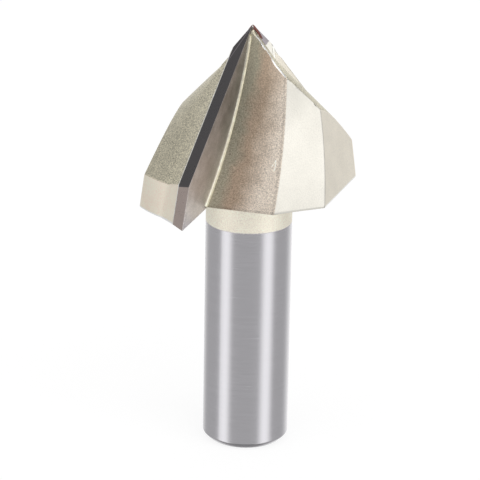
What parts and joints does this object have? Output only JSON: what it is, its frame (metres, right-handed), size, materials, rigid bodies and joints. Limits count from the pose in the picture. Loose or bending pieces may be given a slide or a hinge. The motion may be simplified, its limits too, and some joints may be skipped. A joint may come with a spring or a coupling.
{
  "type": "v groove router bit",
  "caption": "Ninety degree V groove router bit: a conical coated steel head with hollow gullets, brazed carbide tips and a round ground shank.",
  "frame": {"origin": "centre of the flat end of the shank, on the tool's axis", "axes": "+Z along the axis from the shank's end to the cutting point; -Y side carries the front tip, whose cutting edges lie in the plane X = 0, with its rake face towards +X"},
  "size_m": [0.0256, 0.0382, 0.064],
  "materials": {
    "coated_steel": "satin champagne coating, fine blasted grain, over the head and collar; bright ground steel on the shank",
    "carbide": "dark grey ground tungsten carbide",
    "braze": "copper coloured braze with a dull skin"
  },
  "bodies": {
    "root": {"tool_body": "coated_steel", "carbide_tip_front": "carbide", "carbide_tip_rear": "carbide", "braze_seam_front": "braze", "braze_seam_rear": "braze"}
  },
  "joints": []
}
